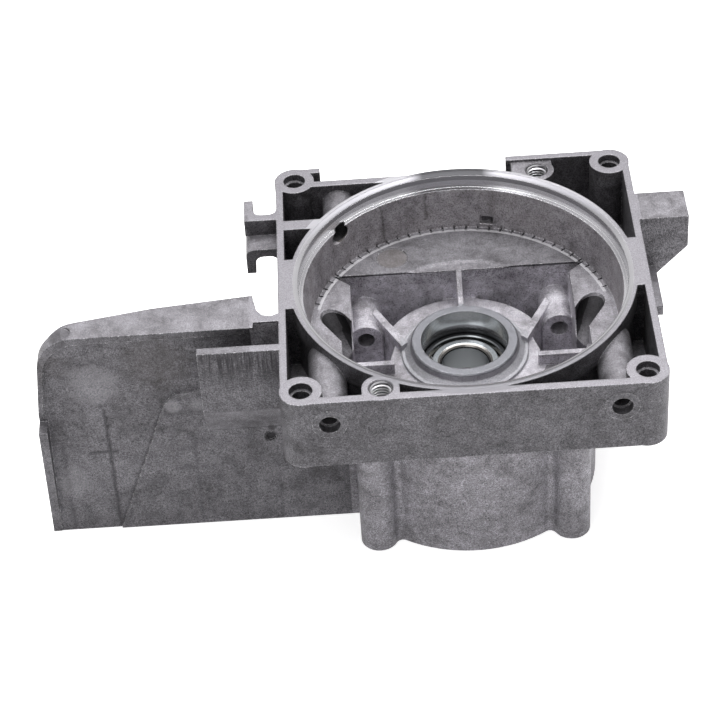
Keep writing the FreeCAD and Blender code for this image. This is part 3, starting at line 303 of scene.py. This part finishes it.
# Edges: the cast corners are soft by about 0.5 mm. A pale line along them is partly burrs rubbed
# bright and partly a painted highlight where the soft corner catches the light.
soft = add(tree, "Bevel", {"Radius": 0.00055}, samples=6)
plain = add(tree, "NewGeometry", out="Normal")
turn = add(tree, "VectorMath", soft, plain, operation="DOT_PRODUCT", out="Value")
edge = add(tree, "MapRange", turn, 1.0, 0.75, 0.0, 1.0)
burr = add(tree, "MapRange", grain, 0.52, 0.66, 0.1, 1.0)
edge = add(tree, "Math", edge, burr, operation="MULTIPLY")
edge = add(tree, "Math", edge, add(tree, "Math", 1.0, rim, operation="SUBTRACT"), operation="MULTIPLY")
body = add(tree, "Mix", {0: edge, 6: body, 7: linear("#d5d4d7")}, data_type="RGBA", out=2)
pits = add(tree, "Bump", {"Strength": 0.5, "Distance": 0.00016, "Height": speckle, "Normal": soft})
waves = add(tree, "Bump", {"Strength": 0.35, "Distance": 0.0007, "Height": flow, "Normal": pits})
smoothed = add(tree, "Math", top_face, 0.6, turned, operation="MULTIPLY_ADD", use_clamp=True)
normal = add(tree, "Mix", {0: smoothed, 4: waves, 5: soft}, data_type="VECTOR", out=1)
rough = add(tree, "MapRange", mottle, 0.35, 0.65, 0.46, 0.62)
for mask, value in ((top_face, 0.5), (hub_rim, 0.34), (turned, 0.2), (rim, 0.42), (lead_in, 0.42)):
    rough = add(tree, "Mix", {0: mask, 2: rough, 3: value})
shader = add(tree, "BsdfPrincipled", {"Base Color": body, "Metallic": 0.85, "Roughness": rough,
                                      "Normal": normal})
add(tree, "OutputMaterial", shader)
dress(nodes["housing"], material)


# Bearing outer ring: hardened bearing steel, ground all over and pressed in the hub. Ground steel is
# bright, but this ring sits deep in the seat and is drawn darker there as painted shade.
material, tree = new_tree("bearing_steel")
mm, found = places(tree)
# Grinding marks are finer than 0.1 mm and are drawn as a faint cloud of about 0.7 mm.
ground = add(tree, "TexNoise", {"Vector": mm, "Scale": 1 / 0.7, "Detail": 3.0})
colour = add(tree, "Mix", {0: ground, 6: linear("#8d9093"), 7: linear("#b3b6b9")}, data_type="RGBA", out=2)
bore = zone(tree, found, radius=(0.0, 7.05))
mouth = zone(tree, found, radius=(7.05, 8.25), z=(-34.9, -33.0))
# Painted shade on the outer ring, deep in the seat.
outer_ring_shade = zone(tree, found, radius=(11.4, 14.0))
for mask, share, tint in ((bore, 1.0, "#a5a9ac"), (mouth, 0.85, "#4d4843"), (outer_ring_shade, 0.5, "#3c3f41")):
    amount = add(tree, "Math", mask, share, operation="MULTIPLY")
    colour = add(tree, "Mix", {0: amount, 6: colour, 7: linear(tint)}, data_type="RGBA", out=2)
rough = add(tree, "MapRange", bore, 0.0, 1.0, 0.2, 0.36)
shader = add(tree, "BsdfPrincipled", {"Base Color": colour, "Metallic": 1.0, "Roughness": rough})
add(tree, "OutputMaterial", shader)
dress(nodes["bearing_outer_ring"], material)


# Bearing inner ring: the same ground steel, with a clean bore where the shaft has run and a brown
# ring of dried oil round its mouth. It turns on the balls.
dress(nodes["bearing_inner_ring"], material)


# Bearing cage: a ring of thin steel sheet with a pocket for each ball. Pressed sheet stays a little
# duller and warmer than the ground rings.
material, tree = new_tree("cage_steel")
rolled = add(tree, "TexNoise", {"Vector": place_in_mm(tree), "Scale": 1 / 0.5, "Detail": 3.0})
colour = add(tree, "Mix", {0: rolled, 6: linear("#8f8c86"), 7: linear("#b5b2ab")}, data_type="RGBA", out=2)
shader = add(tree, "BsdfPrincipled", {"Base Color": colour, "Metallic": 0.9, "Roughness": 0.42})
add(tree, "OutputMaterial", shader)
dress(nodes["bearing_cage"], material)


# Bearing balls: chrome steel, lapped to a mirror, held in the pockets of the cage. They are the
# brightest metal of the part, and little of them shows between the rings.
material, tree = new_tree("ball_steel")
lapped = add(tree, "TexNoise", {"Vector": place_in_mm(tree), "Scale": 1 / 0.35, "Detail": 2.0})
colour = add(tree, "Mix", {0: lapped, 6: linear("#c2c2c4"), 7: linear("#dcdcde")}, data_type="RGBA", out=2)
shader = add(tree, "BsdfPrincipled", {"Base Color": colour, "Metallic": 1.0, "Roughness": 0.12})
add(tree, "OutputMaterial", shader)
for name, cad_node in nodes.items():
    if name.startswith("bearing_ball"):
        dress(cad_node, material, smooth_deg=180)


# Threads of the two tapped holes: M6 with a pitch of 1 mm, cut in the casting's own aluminium. The
# crest and the upper flank of the spiral are bright cut metal; the lower flank faces down and gets painted
# shade.
flanks = []
for name, low, high, roughness in (("cut_aluminium", "#b9b8bb", "#e2e1e4", 0.28),
                                   ("shaded_flank_aluminium", "#1c1b1d", "#39383a", 0.45)):
    material, tree = new_tree(name)
    torn = add(tree, "TexNoise", {"Vector": place_in_mm(tree), "Scale": 1 / 0.25, "Detail": 2.0})
    colour = add(tree, "Mix", {0: torn, 6: linear(low), 7: linear(high)}, data_type="RGBA", out=2)
    shader = add(tree, "BsdfPrincipled", {"Base Color": colour, "Metallic": 0.95, "Roughness": roughness})
    add(tree, "OutputMaterial", shader)
    flanks.append(material)
# The ridge has four corners, root, crest, crest and root, at these radii and heights above its middle
# in mm. It starts below the mouth of the hole and grows to its full height in the first part of a turn.
root, crest, root_rise, crest_rise = 3.02, 2.55, 0.36, 0.12
pitch, start, turns, steps, growing_turns = 1.0, 0.55, 11, 48, 0.6
for name, hole_x, hole_y, top in (("thread_front", -25.9, -47.3, 0.0), ("thread_back", 25.8, 48.8, -1.0)):
    verts, faces = [], []
    for i in range(turns * steps + 1):
        angle = 2 * math.pi * i / steps
        drop = top - start - pitch * i / steps
        tip = root + (crest - root) * min(1.0, i / (steps * growing_turns))
        for reach, rise in ((root, root_rise), (tip, crest_rise), (tip, -crest_rise), (root, -root_rise)):
            verts.append(((hole_x + reach * math.cos(angle)) / 1000, (hole_y + reach * math.sin(angle)) / 1000,
                          (drop + rise * pitch) / 1000))
        if i:
            before, here = 4 * (i - 1), 4 * i
            faces += [(before + k, before + k + 1, here + k + 1, here + k) for k in range(3)]
    mesh = bpy.data.meshes.new(name)
    mesh.from_pydata(verts, [], faces)
    thread = bpy.data.objects.new(name, mesh)
    bpy.context.scene.collection.objects.link(thread)
    dress(thread, flanks[0], smooth_deg=60)
    thread.data.materials.append(flanks[1])
    # The lower flank takes the second material, which is painted shade.
    for face in thread.data.polygons:
        face.material_index = 1 if face.index % 3 == 2 else 0
    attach(thread, "housing")


# Floor: matt studio paper that the part stands on, not a piece of it. It is white to the camera and
# in reflections, and keeps the part's own soft shadow. It lies 0.1 mm below the foot of the part.
def seen_directly(tree):
    """1 for rays of the camera and of reflections, 0 for those that only bring light."""
    camera_ray, glossy_ray, passing_ray = (
        add(tree, "LightPath", out=name) for name in ("Is Camera Ray", "Is Glossy Ray", "Is Transmission Ray"))
    return add(tree, "Math", camera_ray, add(tree, "Math", glossy_ray, passing_ray, operation="MAXIMUM"),
               operation="MAXIMUM")


bpy.ops.mesh.primitive_plane_add(size=6.0, location=(0.0, 0.0, -0.0746))
floor = bpy.context.object
floor.name = "floor"
material, tree = new_tree("studio_paper")
shader = add(tree, "BsdfDiffuse", {"Color": linear("#f4f4f4")})
glow = add(tree, "Emission", {"Color": (1, 1, 1, 1), "Strength": 0.7})
both = add(tree, "AddShader", shader, glow)
add(tree, "OutputMaterial", add(tree, "MixShader", seen_directly(tree), shader, both))
floor.data.materials.append(material)


# World: an even studio, white to the camera and in reflections and dimmer as a light, so that the
# hollows of the casting stay dark.
world = bpy.data.worlds.new("studio")
bpy.context.scene.world = world
world.use_nodes = True
tree = world.node_tree
tree.nodes.clear()
dim = add(tree, "Background", {"Color": (1, 1, 1, 1), "Strength": 0.42})
white = add(tree, "Background", {"Color": (1, 1, 1, 1), "Strength": 1.0})
add(tree, "OutputWorld", add(tree, "MixShader", seen_directly(tree), dim, white))


# Lamps: a large soft box above and behind the part, and a weaker one at the front left.
for name, place, aim, size, watts in (("top_box", (0.05, 0.22, 0.75), (0.0, 0.0, -0.02), 0.55, 10.0),
                                      ("front_box", (-0.35, -0.5, 0.85), (0.0, 0.0, -0.03), 0.5, 2.2)):
    lamp_data = bpy.data.lights.new(name, "AREA")
    lamp_data.energy = watts
    lamp_data.size = size
    lamp = bpy.data.objects.new(name, lamp_data)
    lamp.location = place
    lamp.rotation_euler = (Vector(aim) - Vector(place)).to_track_quat("-Z", "Y").to_euler()
    bpy.context.scene.collection.objects.link(lamp)


# Camera at the photograph's place: above the front wall, with a long lens, rolled a few degrees.
camera_data = bpy.data.cameras.new("camera")
camera_data.lens = 125.51
camera_data.sensor_width = 36.0
camera_data.clip_start = 0.05
camera_data.clip_end = 20.0
camera = bpy.data.objects.new("camera", camera_data)
camera.location = (-0.02719, -0.56322, 0.46013)
camera.rotation_euler = [math.radians(a) for a in (48.866, 2.955, -2.155)]
bpy.context.scene.collection.objects.link(camera)
bpy.context.scene.camera = camera
bpy.context.scene.view_settings.view_transform = "Standard"
